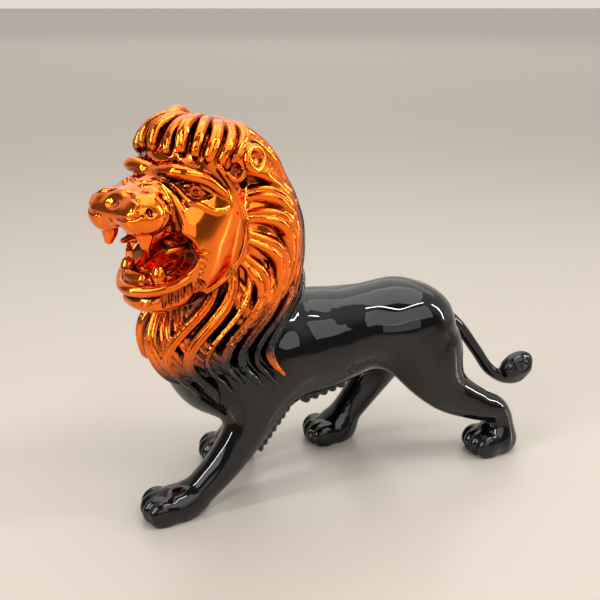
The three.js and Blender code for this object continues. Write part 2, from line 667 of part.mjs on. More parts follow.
// The faces of the outer skin, without the bubbles trapped between locks of hair.
function outerSkin(points, faces) {
  const group = points.map((_, i) => i);
  const leader = (i) => {
    while (group[i] !== i) i = group[i];
    return i;
  };
  for (const [a, b, c] of faces) {
    const first = leader(a);
    group[leader(b)] = first;
    group[leader(c)] = first;
    group[a] = first;
    group[b] = first;
    group[c] = first;
  }
  const sizes = new Map();
  for (const [a] of faces) sizes.set(leader(a), (sizes.get(leader(a)) ?? 0) + 1);
  const [largest] = [...sizes].reduce((best, entry) => (entry[1] > best[1] ? entry : best));
  return faces.filter(([a]) => leader(a) === largest);
}

const { points, faces } = skin();
const thinned = thin(points, outerSkin(points, faces), triangleTarget);
const used = [...new Set(thinned.flat())];
const place = new Map(used.map((i, n) => [i, n]));
const corners = used.map((i) => points[i]);
for (const p of corners) if (p.z < 0.3) p.z = 0;
const middle = new THREE.Box3().setFromPoints(corners).getCenter(v3(0, 0, 0));
for (const p of corners) p.sub(v3(middle.x, middle.y, 0));
const geometry = new THREE.BufferGeometry().setFromPoints(corners);
geometry.setIndex(thinned.flat().map((i) => place.get(i)));
const lion = new THREE.Mesh(geometry, new THREE.MeshStandardMaterial({ color: 0x0b0b0d, roughness: 0.08 }));
lion.name = "lion";
const model = new THREE.Group();
model.add(lion);
export default model;
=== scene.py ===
import math

import bpy
import numpy as np
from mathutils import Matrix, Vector


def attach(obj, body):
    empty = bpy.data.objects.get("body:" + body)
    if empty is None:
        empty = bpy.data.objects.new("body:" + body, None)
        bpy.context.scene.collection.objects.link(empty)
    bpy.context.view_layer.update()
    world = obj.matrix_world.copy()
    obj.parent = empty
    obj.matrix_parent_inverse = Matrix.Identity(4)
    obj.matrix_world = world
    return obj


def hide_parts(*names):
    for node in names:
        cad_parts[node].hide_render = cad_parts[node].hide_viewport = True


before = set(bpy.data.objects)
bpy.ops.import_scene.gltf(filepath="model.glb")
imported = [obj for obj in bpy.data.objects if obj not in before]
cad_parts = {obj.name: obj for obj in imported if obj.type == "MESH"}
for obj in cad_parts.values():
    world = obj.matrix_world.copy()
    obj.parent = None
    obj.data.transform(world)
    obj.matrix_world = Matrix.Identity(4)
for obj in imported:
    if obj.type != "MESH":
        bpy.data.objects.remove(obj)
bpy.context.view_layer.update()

# Driving dimensions, in millimetres. Those of the main forms are the same as in the solid.
MM = 0.001
CENTRE_SHIFT = (10.95, 18.57)  # from the modelling frame to the middle of the solid's box
STANCE = 35  # from the middle of the body to the middle of each foot
FOOT_AT = {"left_front": -124, "right_front": -60, "right_hind": 32, "left_hind": 147}
FOOT_SIZE = (16, 20, 14.5)  # half the width, length and height
FOOT_MIDDLE = 8.5  # above the ground
TOE_SIZE = (5.9, 11, 10.5)
TOE_SPACING = 7.8
BACK_HEIGHT = 146
BELLY_HEIGHT = 66
HEAD_CENTRE = np.array([23.0, -97.0, 220.0])
HEAD_TURN = math.radians(27)
HEAD_HALF_WIDTH = 40
MANE_REACH = (41, 50, 52)  # forward, sideways and up from the middle of the mane's core
TAIL_THICKNESS = 9.5
LOCK_HALF_WIDTH = 6.8
LOCK_HALF_HEIGHT = 6.2
STRANDS_PER_LOCK = 2
STRAND_DEPTH = 2.2
NECK_LOCKS = 7  # on each side
NECK_LOCK_HALF_HEIGHT = 8
STRANDS_PER_NECK_LOCK = 3
NECK_STRAND_DEPTH = 1.6
FORELOCK_TONGUES = 12
BELLY_KNOBS = 5
LEG_KNOBS = 9  # on the stretched front leg

# How finely the skin is found, in millimetres.
GRID_LOW = np.array([-75.0, -185.0, -4.0])
GRID_HIGH = np.array([95.0, 225.0, 305.0])
GRID_STEP = 1.1
GRID_BLOCK = 6  # steps along each side of a block, and every point is measured only in blocks near the skin
BLOCKS_AT_ONCE = 3000
TRIANGLES = 190000
SOLE_EDGE = 0.6  # the skin below this height is left as the grid cut it
SOLE_FLAT = 0.3  # and below this height it is made flat

# How the coatings lie, and where shade is painted on the lustre, in millimetres.
GROOVE_PROBE = 5  # how far out of the skin to look for more clay, which makes a point part of a groove
GROOVE_OPEN = 4.5
HOLLOW_PROBE = 13
PLATING_EDGE = 108  # the lowest height of the plating, at the front of the chest
CHEST_FRONT = -130
PLATING_RISE = 0.6  # how steeply that edge climbs towards the back
WOBBLE_LENGTH = 35  # the slow waves of a hand-cast wall, which bend the reflections
WOBBLE_DEPTH = 2.2

# Colours, as sRGB hex codes.
BLACK_GLAZE = "#050507"
LUSTRE = "#ff7612"
# Painted shade: the lustre's colour in grooves, where shade falls.
PAINTED_GROOVE_SHADE = "#883007"
# Painted shade: the lustre's colour in the mouth and other deep hollows, where shade falls.
PAINTED_HOLLOW_SHADE = "#57290f"
FLOOR_PAINT = "#b1a99f"
ROOM_IN_FRONT = "#6f6a65"
ROOM_BEHIND = "#e2dbd2"

# The photograph's view, in the modelling frame.
CAMERA_PLACE = (599.3, -257.2, 350)
CAMERA_ROUND = math.radians(22.5)  # forward of the lion's left side
CAMERA_DOWN = math.radians(18)
LENS = 54
SENSOR = 36

ACROSS_BODY = np.array([1.0, 0.0, 0.0])
DOWN = np.array([0.0, 0.0, -1.0])
UPWARD = np.array([0.0, 0.0, 1.0])
FORWARD = np.array([math.sin(HEAD_TURN), -math.cos(HEAD_TURN), 0.0])
LEFTWARD = np.array([math.cos(HEAD_TURN), math.sin(HEAD_TURN), 0.0])
WORLD_AXES = np.eye(3)
HEAD_AXES = np.array([FORWARD, LEFTWARD, UPWARD])
BOTH_SIDES = (1, -1)  # left and right
clay = []  # every lump, roll and hollow, in the order in which they were made


def point(x, y, z):
    return np.array([x, y, z], dtype=float)


def smooth(value, low, high):
    """0 at the low end and 1 at the high end, with a gentle start and stop."""
    share = np.clip((value - low) / (high - low), 0, 1)
    return share * share * (3 - 2 * share)


def mix(a, b, share):
    return a + (b - a) * share


def soft_min(a, b, blend):
    """Two distances joined with a seam as wide as the blend."""
    h = np.maximum(blend - np.abs(a - b), 0) / blend
    return np.minimum(a, b) - h * h * blend / 4


def to_ellipsoid(local, sizes):
    """Close to the distance to an egg's surface, negative inside. The half sizes run along the axes."""
    far = np.linalg.norm(local / sizes, axis=1)
    steep = np.maximum(np.linalg.norm(local / sizes**2, axis=1), 1e-9)
    return far * (far - 1) / steep


def press(shape, blend):
    """Add a shape to the clay, with a seam as wide as the blend."""
    clay.append({**shape, "blend": blend, "cut": False})


def carve(shape, blend):
    """Cut a shape out of the clay, with an edge as round as the blend."""
    clay.append({**shape, "blend": blend, "cut": True})


def lump(centre, a, b, c, axes=WORLD_AXES):
    """A ball or egg. The half sizes run along the axes, which are three unit vectors."""
    sizes = np.array([a, b, c], dtype=float)

    def distance(p):
        return to_ellipsoid((p - centre) @ axes.T, sizes)

    return {"centre": centre, "reach": sizes.max(), "distance": distance}


def leaning_axes(degrees):
    """Axes turned about X, for an egg that leans forward or back."""
    turn = math.radians(degrees)
    return np.array([
        [1, 0, 0],
        [0, math.cos(turn), math.sin(turn)],
        [0, -math.sin(turn), math.cos(turn)],
    ])


def smooth_path(points, shares):
    """Points on a smooth curve through the stations, spaced by the square root of their distances."""
    points = np.array(points)
    first = 2 * points[0] - points[1]
    last = 2 * points[-1] - points[-2]
    padded = np.vstack([first, points, last])
    along = np.clip(shares, 0, 1) * (len(points) - 1)
    start = np.minimum(along.astype(int), len(points) - 2)
    w = (along - start)[:, None]
    p0, p1, p2, p3 = (padded[start + n] for n in range(4))
    pairs = ((p0, p1), (p1, p2), (p2, p3))
    gap = [np.sqrt(np.linalg.norm(b - a, axis=1))[:, None] for a, b in pairs]
    t1 = (p1 - p0) / gap[0] - (p2 - p0) / (gap[0] + gap[1]) + (p2 - p1) / gap[1]
    t2 = (p2 - p1) / gap[1] - (p3 - p1) / (gap[1] + gap[2]) + (p3 - p2) / gap[2]
    t1 = t1 * gap[1]
    t2 = t2 * gap[1]
    return p1 + t1 * w + (3 * (p2 - p1) - 2 * t1 - t2) * w**2 + (2 * (p1 - p2) + t1 + t2) * w**3


def roll(stations, sides, steps=24, strands=0, strand_depth=0.0):
    """A roll of clay along a smooth curve. Each station is (point, half width, half height), and the sizes
    change smoothly between them. The width runs along the side vector, of which there is one for the whole
    roll or one for each station. A lock of hair also has strands: grooves that follow its length."""
    points = [s[0] for s in stations]
    shares = np.linspace(0, 1, steps + 1)
    at = smooth_path(points, shares)
    tangent = smooth_path(points, shares + 1e-4) - smooth_path(points, shares - 1e-4)
    tangent /= np.linalg.norm(tangent, axis=1)[:, None]
    along = shares * (len(points) - 1)
    start = np.minimum(along.astype(int), len(points) - 2)
    share = along - start
    sizes = np.array([s[1:3] for s in stations], dtype=float)
    slopes = np.gradient(sizes, axis=0)
    from_size, to_size = sizes[start], sizes[start + 1]
    from_slope, to_slope = slopes[start], slopes[start + 1]
    w = share[:, None]
    smoothed = (from_size + from_slope * w + (3 * (to_size - from_size) - 2 * from_slope - to_slope) * w**2
                + (2 * (from_size - to_size) + from_slope + to_slope) * w**3)
    wide, high = np.maximum(smoothed, 0.7 * np.minimum(from_size, to_size)).T
    sides = np.array(sides, dtype=float)
    if sides.ndim == 1:
        side = np.repeat(sides[None], steps + 1, axis=0)
    else:
        side = mix(sides[start], sides[start + 1], share[:, None])
    side = side - tangent * (side * tangent).sum(1)[:, None]
    side /= np.linalg.norm(side, axis=1)[:, None]
    centre = (at.min(0) + at.max(0)) / 2
    reach = (np.linalg.norm(at - centre, axis=1) + np.maximum(wide, high)).max()
    run = np.diff(at, axis=0)
    length_sq = np.maximum((run**2).sum(1), 1e-9)

    def distance(p):
        dots = p @ run.T - (at[:-1] * run).sum(1)
        squares = (p**2).sum(1)[:, None] - 2 * p @ at[:-1].T + (at[:-1] ** 2).sum(1)
        t = np.clip(dots / length_sq, 0, 1)
        n = np.argmin(squares - t * (2 * dots - t * length_sq), axis=1)
        t = t[np.arange(len(p)), n]
        offset = p - at[n] - run[n] * t[:, None]
        way = mix(tangent[n], tangent[n + 1], t[:, None])
        way /= np.linalg.norm(way, axis=1)[:, None]
        out = mix(side[n], side[n + 1], t[:, None])
        out /= np.linalg.norm(out, axis=1)[:, None]
        rise = np.cross(way, out)
        w = mix(wide[n], wide[n + 1], t)
        h = mix(high[n], high[n + 1], t)
        local = np.stack([(offset * out).sum(1), (offset * rise).sum(1), (offset * way).sum(1)], axis=1)
        value = to_ellipsoid(local, np.stack([w, h, np.minimum(w, h)], axis=1))
        if strands:
            across = np.clip(local[:, 0] / w, -1, 1)
            ridge = np.abs(np.sin(math.pi * strands * (across + 1) / 2))
            value = value + strand_depth * (1 - ridge**0.8) * np.minimum(w / LOCK_HALF_WIDTH, 1)
        return value

    return {"centre": centre, "reach": reach, "distance": distance}


CELL = 6.0  # the blocks that points are sorted into, so that each shape is only asked about points near it
CELL_REACH = CELL * 0.87  # from the middle of a block to its corners
KEY_START = 500  # makes every block's key positive
KEY_STRIDES = np.array([1000003, 1009, 1])  # gives each block a number of its own
FAR = 30.0  # what a point measures that no clay is near
POINTS_AT_ONCE = 40000


def field(points, shapes=None):
    """The distance from each point to the clay, negative inside."""
    shapes = clay if shapes is None else shapes
    keys = np.floor(points / CELL).astype(np.int64)
    code = (keys + KEY_START) @ KEY_STRIDES
    order = np.argsort(code, kind="stable")
    sorted_code = code[order]
    starts = np.flatnonzero(np.r_[True, sorted_code[1:] != sorted_code[:-1]])
    counts = np.diff(np.r_[starts, len(points)])
    p = points[order]
    centres = (keys[order[starts]] + 0.5) * CELL
    d = np.full(len(p), FAR)
    highest = np.full(len(starts), FAR)
    lowest = np.full(len(starts), FAR)
    for shape in shapes:
        blend = shape["blend"]
        nearest = np.linalg.norm(centres - shape["centre"], axis=1) - shape["reach"] - CELL_REACH
        chosen = np.flatnonzero(nearest < (blend - lowest if shape["cut"] else highest + blend))
        if not len(chosen):
            continue
        nearest = shape["distance"](centres[chosen]) - CELL_REACH * 1.5
        limit = blend - lowest[chosen] if shape["cut"] else highest[chosen] + blend
        chosen = chosen[nearest < limit]
        if not len(chosen):
            continue
        n = counts[chosen]
        firsts = np.cumsum(n) - n
        index = np.repeat(starts[chosen] - firsts, n) + np.arange(n.sum())
        parts = np.array_split(index, len(index) // POINTS_AT_ONCE + 1)
        value = np.concatenate([shape["distance"](p[part]) for part in parts])
        if shape["cut"]:
            d[index] = -soft_min(-d[index], value, blend)
        else:
            d[index] = soft_min(d[index], value, blend)
        highest[chosen] = np.maximum.reduceat(d[index], firsts)
        lowest[chosen] = np.minimum.reduceat(d[index], firsts)
    result = np.empty(len(p))
    result[order] = d
    return result


def outward(points, shapes=None, reach=0.4):
    """Unit vectors out of the surface of the clay."""
    corners = np.array([[1, 1, 1], [1, -1, -1], [-1, 1, -1], [-1, -1, 1]], dtype=float)
    values = field((points[None] + corners[:, None] * reach).reshape(-1, 3), shapes).reshape(4, -1)
    slope = (values[:, :, None] * corners[:, None]).sum(0)
    return slope / np.maximum(np.linalg.norm(slope, axis=1), 1e-9)[:, None]


def onto(points, shapes=None, rounds=4):
    """The points moved onto the surface of the clay."""
    for _ in range(rounds):
        points = points - outward(points, shapes) * field(points, shapes)[:, None]
    return points


def head_point(f, l, u):
    """A point that is so far forward, left and up from the middle of the head."""
    return HEAD_CENTRE + f * FORWARD + l * LEFTWARD + u * UPWARD


def head_lump(f, l, u, a, b, c):
    return lump(head_point(f, l, u), a, b, c, HEAD_AXES)


def head_roll(stations, sides, steps, strands=0, strand_depth=0.0):
    """A roll whose stations are (forward, left, up, half width, half height) in the head's frame."""
    placed = [(head_point(*s[:3]), s[3], s[4]) for s in stations]
    return roll(placed, sides, steps, strands, strand_depth)


def barrel():
    """The trunk, from the chest to the rump."""
    rib = BACK_HEIGHT - BELLY_HEIGHT
    middle = (BACK_HEIGHT + BELLY_HEIGHT) / 2
    press(roll([
        (point(0, -70, middle + 6), 40, rib * 0.56),
        (point(0, -30, middle), 42, rib * 0.56),
        (point(0, 8, middle + 1), 40, rib * 0.5),
        (point(0, 45, middle + 5), 34, rib * 0.43),
        (point(0, 76, middle + 8), 35, rib * 0.41),
        (point(0, 92, middle + 3), 34, rib * 0.35),
        (point(0, 104, middle - 7), 27, rib * 0.23),
    ], ACROSS_BODY, 80), 1)


def leg(stations, x, y):
    """A leg from its joint stations down to a foot with four toes that points forward."""
    press(roll(stations, ACROSS_BODY, 60), 18)
    press(lump(point(x, y + 4, FOOT_MIDDLE), *FOOT_SIZE), 8)
    for toe in (-1.5, -0.5, 0.5, 1.5):
        press(lump(point(x + toe * TOE_SPACING, y - 12 + abs(toe) * 2.6, FOOT_MIDDLE), *TOE_SIZE), 2.6)


def legs():
    """The left legs are stretched out forward and back, and the right ones stand under the body."""
    leg([
        (point(20, -44, 106), 24, 34),
        (point(29, -54, 84), 20, 27),
        (point(34, -66, 58), 15.5, 17),
        (point(35, -84, 34), 13, 13.5),
        (point(35, FOOT_AT["left_front"] + 20, 15), 12.5, 12),
    ], STANCE, FOOT_AT["left_front"])
    leg([
        (point(-20, -44, 106), 24, 34),
        (point(-28, -45, 84), 20, 26),
        (point(-33, -45, 58), 15, 18),
        (point(-35, -47, 34), 13, 14),
        (point(-35, FOOT_AT["right_front"] + 8, 16), 13, 13),
    ], -STANCE, FOOT_AT["right_front"])
    leg([
        (point(16, 80, 112), 23.5, 31),
        (point(23, 91, 84), 21.5, 28.5),
        (point(29, 108, 58), 16, 19),
        (point(34, 133, 43), 12.5, 13.5),
        (point(35, 150, 35), 11, 11.2),
        (point(35, 155, 22), 11.5, 11.5),
        (point(35, FOOT_AT["left_hind"] + 4, 14), 12, 13),
    ], STANCE, FOOT_AT["left_hind"])
    press(lump(point(24, 101, 88), 12, 12, 15), 14)  # fills the crease behind the left thigh
    leg([
        (point(-16, 82, 108), 23.5, 31),
        (point(-24, 80, 83), 21, 27),
        (point(-32, 72, 56), 15, 18),
        (point(-35, 56, 32), 12.5, 14),
        (point(-35, FOOT_AT["right_hind"] + 10, 16), 12, 13),
    ], -STANCE, FOOT_AT["right_hind"])


def tail():
    """A tail that hangs behind the rump and turns up into an egg-shaped tuft."""
    r = TAIL_THICKNESS / 2
    press(roll([
        (point(0, 90, 123), r * 2.3, r * 2.3),
        (point(0, 110, 116), r * 1.6, r * 1.6),
        (point(1, 131, 101), r * 1.1, r * 1.1),
        (point(3, 150, 76), r, r),
        (point(4, 164, 57), r, r),
        (point(5, 180, 47), r, r),
        (point(6, 192, 47), r * 1.1, r * 1.1),
        (point(6, 199, 54), r * 1.3, r * 1.1),
    ], ACROSS_BODY, 40), 6)
    press(lump(point(7, 189, 57.5), 8.5, 16.5, 12, leaning_axes(20)), 3)


def mane_core():
    """The bulk of the mane and of the neck down to the chest, which the locks are combed over."""
    press(head_lump(-32, 0, -18, *MANE_REACH), 10)
    press(head_roll([(4, 0, 38, 33, 17), (-14, 0, 38, 36, 18), (-34, 0, 25, 36, 20)], LEFTWARD, 12), 10)
    press(lump(point(6, -70, 168), 48, 50, 54), 14)
    press(lump(point(4, -82, 130), 42, 46, 48), 14)
    press(lump(point(2, -76, 94), 34, 32, 32), 14)


def skull():
    """The ball of the head, with the crown, the cheeks and the jaw."""
    press(head_lump(0, 0, 8, 34, HEAD_HALF_WIDTH, 46), 6)
    press(head_roll([(0, -22, 37, 20, 18), (4, 0, 39, 20, 18), (0, 22, 37, 20, 18)], FORWARD, 8), 6)
    for s in BOTH_SIDES:
        press(head_lump(14, 21 * s, -14, 29, 19, 36), 8)
    press(head_lump(26, 0, -34, 27, 25, 25), 6)


def muzzle():
    """A wide boxy muzzle with a flat front, a bridge up to the brows, the nose on top with its nostrils,
    and the wrinkles on each side, some raised and some grooved."""
    press(head_roll([(14, 0, 28, 19, 10), (40, 0, 19, 17, 9), (54, 0, 15, 16, 9)], LEFTWARD, 12), 4)
    press(head_roll([(51, -16, 9, 18, 13), (52, 0, 10, 17, 12), (51, 16, 9, 18, 13)], FORWARD, 8), 4)
    for s in BOTH_SIDES:
        press(head_lump(54, 15 * s, 6.4 + s, 16, 13.5, 12), 3)
        press(head_roll([(38, 11 * s, 20, 8, 7), (48, 15 * s, 15, 8, 7.5), (56, 17 * s, 10, 7, 7)],
                        LEFTWARD, 8), 4)
    press(head_lump(56, 0, 14, 11, 13, 9.5), 1.2)
    for s in BOTH_SIDES:
        press(head_lump(56, 15 * s, 15, 9.5, 8.5, 7.5), 2)
        nostril = onto(np.array([head_point(58.5, 27 * s, 12.5)]))[0]
        carve(lump(nostril, 3.4, 2.8, 3.0, HEAD_AXES), 0.8)
        for grooved, line in (
            (False, ((66, 21, 13), (63, 23, 16.5), (58.5, 24.5, 17), (56, 26.5, 14), (57, 28, 9.5))),
            (True, ((70, 8, 8), (69, 17, 9), (66.5, 22.5, 10), (63, 25.5, 12))),
            (True, ((59, 4, 23), (59.5, 9, 22), (62, 17, 19.5), (62, 21, 17.5))),
            (False, ((50, 6, 25), (45, 13, 25.5), (43, 20, 22), (41, 24.5, 15.5))),
            (False, ((47, 0, 26.5), (43, 8, 27), (40, 17, 26), (38, 23, 19))),
            (True, ((51, 24, 19), (48, 27, 14), (48, 28, 7), (50, 28, 1))),
        ):
            path = onto(np.array([head_point(f, l * s, u) for f, l, u in line]))
            thick = [0.7] + [1.2] * (len(path) - 2) + [0.5]
            shape = roll([(p, t, t) for p, t in zip(path, thick)], UPWARD, 12)
            if grooved:
                carve(shape, 0.6)
            else:
                press(shape, 0.8)
    carve(head_roll([(67, 0, 6, 1.2, 2), (69, 0, 0, 1.8, 3), (66, 0, -7, 1.8, 3)], LEFTWARD, 8), 1)
    carve(head_lump(67, 0, 17.5, 4, 5.5, 4), 4)


def sneer():
    """A hollow behind the muzzle, and a fold from the bridge down the cheek."""
    for s in BOTH_SIDES:
        carve(head_roll([(46, 22 * s, 18, 1, 1.5), (42, 27 * s, 10, 2, 2.5), (38, 27 * s, 0, 3, 3.5),
                         (36, 26 * s, -8, 3, 4)], LEFTWARD, 12), 1.5)
        press(head_roll([(36, 13 * s, 28, 1.6, 1.6), (31, 22 * s, 21, 2.2, 2.2), (27, 28 * s, 12, 2.2, 2.2),
                         (24, 32 * s, 2, 2, 2), (18, 35 * s, -8, 1.4, 1.4)], LEFTWARD, 16), 1)


def brows():
    """A thick bar across the forehead, with a second fold under it that covers each eye."""
    press(head_roll([(27, -14, 32, 6, 8), (28, 0, 30, 5.5, 7), (27, 14, 32, 6, 8)], UPWARD, 8), 3)
    for s in BOTH_SIDES:
        press(head_roll([(30, 9 * s, 32.5, 4.6, 6), (30, 20 * s, 33, 5.2, 6.5),
                         (26, 28 * s, 31.5, 4.6, 5.5), (17, 34 * s, 27, 3.8, 4.5),
                         (7, 38.5 * s, 18, 2.6, 3)], UPWARD, 16), 1.5)
        press(head_roll([(29, 12 * s, 28, 2.4, 2.4), (28, 21 * s, 29.5, 2.8, 2.8),
                         (21, 29 * s, 28.5, 2.8, 2.8), (11, 35 * s, 22, 2.4, 2.4),
                         (3, 38.5 * s, 13, 1.4, 1.4)], UPWARD, 14), 1)


def eyes():
    """Almond eyes with a lid above and below, a ring and a pit for the pupil, and a fold under them."""
    for s in BOTH_SIDES:
        length = np.array([-11.0, 8.0 * s, -4.0]) / math.sqrt(201)  # from the inner corner to the outer one
        out = np.cross(length, np.array([0.2, 0, 1.0])) * s
        out /= np.linalg.norm(out)
        rise = np.cross(out, length) * s
        axes = np.array([v @ HEAD_AXES for v in (length, out, rise)])
        middle = head_point(18.5, 26 * s, 20)
        carve(lump(head_point(22, 29.5 * s, 20.5), 9.5, 4.2, 5.5, axes), 2)
        press(lump(middle, 8.5, 5.2, 6, axes), 0.6)
        turns = np.linspace(0, math.pi, 9)
        for side, thick in ((1, 1.7), (-1, 1.2)):
            lid = [middle + axes[0] * 9.5 * math.cos(t) + axes[1] * (2.2 + 2.4 * math.sin(t))
                   + axes[2] * 4.2 * side * math.sin(t) for t in turns]
            press(roll([(p, thick, thick) for p in lid], axes[1], 16), 0.5)
        gaze = middle + axes[1] * 5.2 - axes[0] * 1.5
        ring = [gaze + (axes[0] * math.cos(t) + axes[2] * math.sin(t)) * 3.5
                for t in np.linspace(0, math.tau, 9)]
        carve(roll([(p, 0.7, 1.4) for p in ring], axes[1], 20), 0.3)
        carve(lump(gaze, 1.8, 2.2, 1.8, axes), 0.3)
        fold = onto(np.array([head_point(30, 23 * s, 13), head_point(23, 28 * s, 8.5),
                              head_point(14, 32 * s, 6), head_point(6, 35 * s, 7)]))
        press(roll([(fold[0], 0.9, 0.9), (fold[1], 1.4, 1.4), (fold[2], 1.4, 1.4), (fold[3], 0.8, 0.8)],
                   UPWARD, 12), 1)


def ears():
    """Round ears, each a thick ring round a bowl, and a curl in front that runs down to the hairline."""
    for s in BOTH_SIDES:
        carve(head_lump(-10, 56 * s, 39, 12, 8, 12), 2)
        press(head_lump(-10, 44 * s, 39, 9.5, 7, 9.5), 2)
        carve(head_lump(-9.5, 52 * s, 39.5, 5.2, 5.2, 5.2), 0.8)
        rim = [(-10 + 7 * math.cos(t), (49.5 - 1.5 * math.sin(t)) * s, 39 + 7.2 * math.sin(t), 2.5, 2.5)
               for t in np.linspace(-2.6, 3.4, 13)]
        press(head_roll(rim, LEFTWARD, 30), 0.6)
        press(head_roll([(-4, 46 * s, 33, 2, 2), (-1, 45.5 * s, 28, 2.4, 2.4), (3, 43 * s, 27, 2, 2),
                         (6, 41 * s, 31, 1.2, 1.2)], LEFTWARD, 12), 0.8)


def face_edge_at(u):
    """How far forward the edge of the face is, for a height in the head's frame."""
    return -9 + 26 * ((u + 7) / 46) ** 2


def face_edge():
    """The raised line where the face ends and the mane starts."""
    for s in BOTH_SIDES:
        line = onto(np.array([head_point(face_edge_at(u), 42 * s, u) for u in np.linspace(34, -56, 12)]))
        press(roll([(p, 2.2, 2.2) for p in line], LEFTWARD, 30), 1)


def face():
    muzzle()
    sneer()
    brows()
    eyes()
    face_edge()


def mouth():
    """A wide gape, the chin, the rolled lower lip, a tongue with a trough, a thick fold from the bridge
    down round each corner of the mouth, ridges inside the cheeks, and the teeth: an upper and a lower fang
    on each side, and the front edge of the lower row."""
    gape = math.radians(10)
    tilted = np.array([
        FORWARD * math.cos(gape) - UPWARD * math.sin(gape),
        LEFTWARD,
        UPWARD * math.cos(gape) + FORWARD * math.sin(gape),
    ])
    carve(lump(head_point(56, 0, -19), 43, 29, 17, tilted), 2.5)
    carve(head_roll([(40, -26, -18, 16, 14), (42, 0, -19, 16, 14), (40, 26, -18, 16, 14)], FORWARD, 8), 2.5)
    carve(head_lump(30, 0, -25, 24, 18, 15), 3)
    lip = [(25, 30, -31), (33, 28.5, -34.5), (42, 24, -38.5), (49, 17, -41), (55, 8, -42), (57, 0, -42)]
    rim = lip + [(f, -l, u) for f, l, u in lip[-2::-1]]
    press(head_roll([(42, -9, -51, 11, 8), (44, 0, -51, 11, 8), (42, 9, -51, 11, 8)], FORWARD, 8), 2)
    press(head_lump(30, 0, -50, 20, 23, 11), 5)
    press(head_roll([(*p, 3.9, 3.9) for p in rim], UPWARD, 40), 1.5)
    press(head_roll([(6, 0, -31, 14, 7), (24, 0, -33, 14, 7), (40, 0, -36, 11, 5)], LEFTWARD, 12), 2)
    carve(head_roll([(14, 0, -25, 7, 5), (26, 0, -26, 7, 4.5), (38, 0, -30, 5, 3)], LEFTWARD, 10), 2)
    for s in BOTH_SIDES:
        press(head_roll([(48, 9 * s, 25.5, 1.6, 1.6), (40, 14 * s, 24.5, 2.4, 2.4),
                         (37, 21 * s, 19, 3, 3), (34.5, 26 * s, 10, 3.2, 3.2),
                         (32, 29 * s, 1, 3.4, 3.4), (27, 31.5 * s, -8, 3.6, 3.6),
                         (22.5, 32 * s, -19, 3.6, 3.6), (21.5, 32 * s, -27, 3.6, 3.6),
                         (27, 30 * s, -33, 3.6, 3.6)], LEFTWARD, 26), 1.5)
        press(head_roll([(42, 22 * s, -16, 2, 2), (28, 23 * s, -15, 2.4, 2.4), (14, 16 * s, -19, 2.6, 2.6),
                         (9, 8 * s, -26, 2.6, 2.6)], UPWARD, 14), 1.2)
        press(head_roll([(56, 17 * s, 0, 7, 6), (56, 17.5 * s, s - 7, 5.4, 4.6),
                         (56.5, 18 * s, s - 11, 3.4, 3)], LEFTWARD, 8), 1)
        press(head_lump(44.5, 15.5 * s, -33, 5, 5, 8), 1)
    press(head_roll([(51, -7, -36, 3.4, 5), (52, 0, -36, 3.4, 5), (51, 7, -36, 3.4, 5)], FORWARD, 8), 1)


def comb_angle(p):
    """How hair lies, in degrees from straight back (0) to straight down (90) and on forward. It leaves the
    edge of the face nearly straight back, and lower down more steeply. Further round the head and the neck
    it turns down and forward, and low on the neck it turns back again."""
    local = (p - HEAD_CENTRE) @ HEAD_AXES.T
    u = local[:, 2]
    behind = face_edge_at(np.clip(u, -55, 45)) - local[:, 0]
    leaving = -5 + 62 * smooth(22 - u, 0, 75)
    turned = 38 + 62 * smooth(45 - u, 0, 60) + 20 * smooth(-10 - u, 0, 50)
    return mix(leaving, turned, smooth(behind, 4, 46)) - 62 * smooth(142 - p[:, 2], 0, 40)


def press_locks(roots, lengths, sizes, bed):
    """Locks of hair, combed over the bed together, a step at a time. Each root is tucked under, each tip
    lies on top, and both ends are narrower."""
    steps = 10
    p = onto(np.array(roots), bed)
    lengths = np.array(lengths, dtype=float)
    ahead = point(math.sin(HEAD_TURN / 2), -math.cos(HEAD_TURN / 2), 0)
    stations = []
    sides = []
    for n in range(steps + 1):
        share = n / steps
        normal = outward(p, bed)
        angle = np.radians(comb_angle(p))[:, None]
        heading = DOWN * np.sin(angle) - ahead * np.cos(angle)
        heading = heading - normal * (heading * normal).sum(1)[:, None]
        heading /= np.linalg.norm(heading, axis=1)[:, None]
        girth = (0.8 + 0.2 * smooth(share, 0, 0.3)) * math.sqrt(max(1 - share**3, 0.03))
        stations.append((p + normal * (-3 + 4.5 * smooth(share, 0, 0.4) + share), girth))
        sides.append(np.cross(heading, normal))
        p = onto(p + heading * (lengths / steps)[:, None], bed)
    for n, size in enumerate(sizes):
        lock = [(at[n], LOCK_HALF_WIDTH * girth * size, LOCK_HALF_HEIGHT * girth * size)
                for at, girth in stations]
        press(roll(lock, [side[n] for side in sides], 18, STRANDS_PER_LOCK, STRAND_DEPTH), 1)


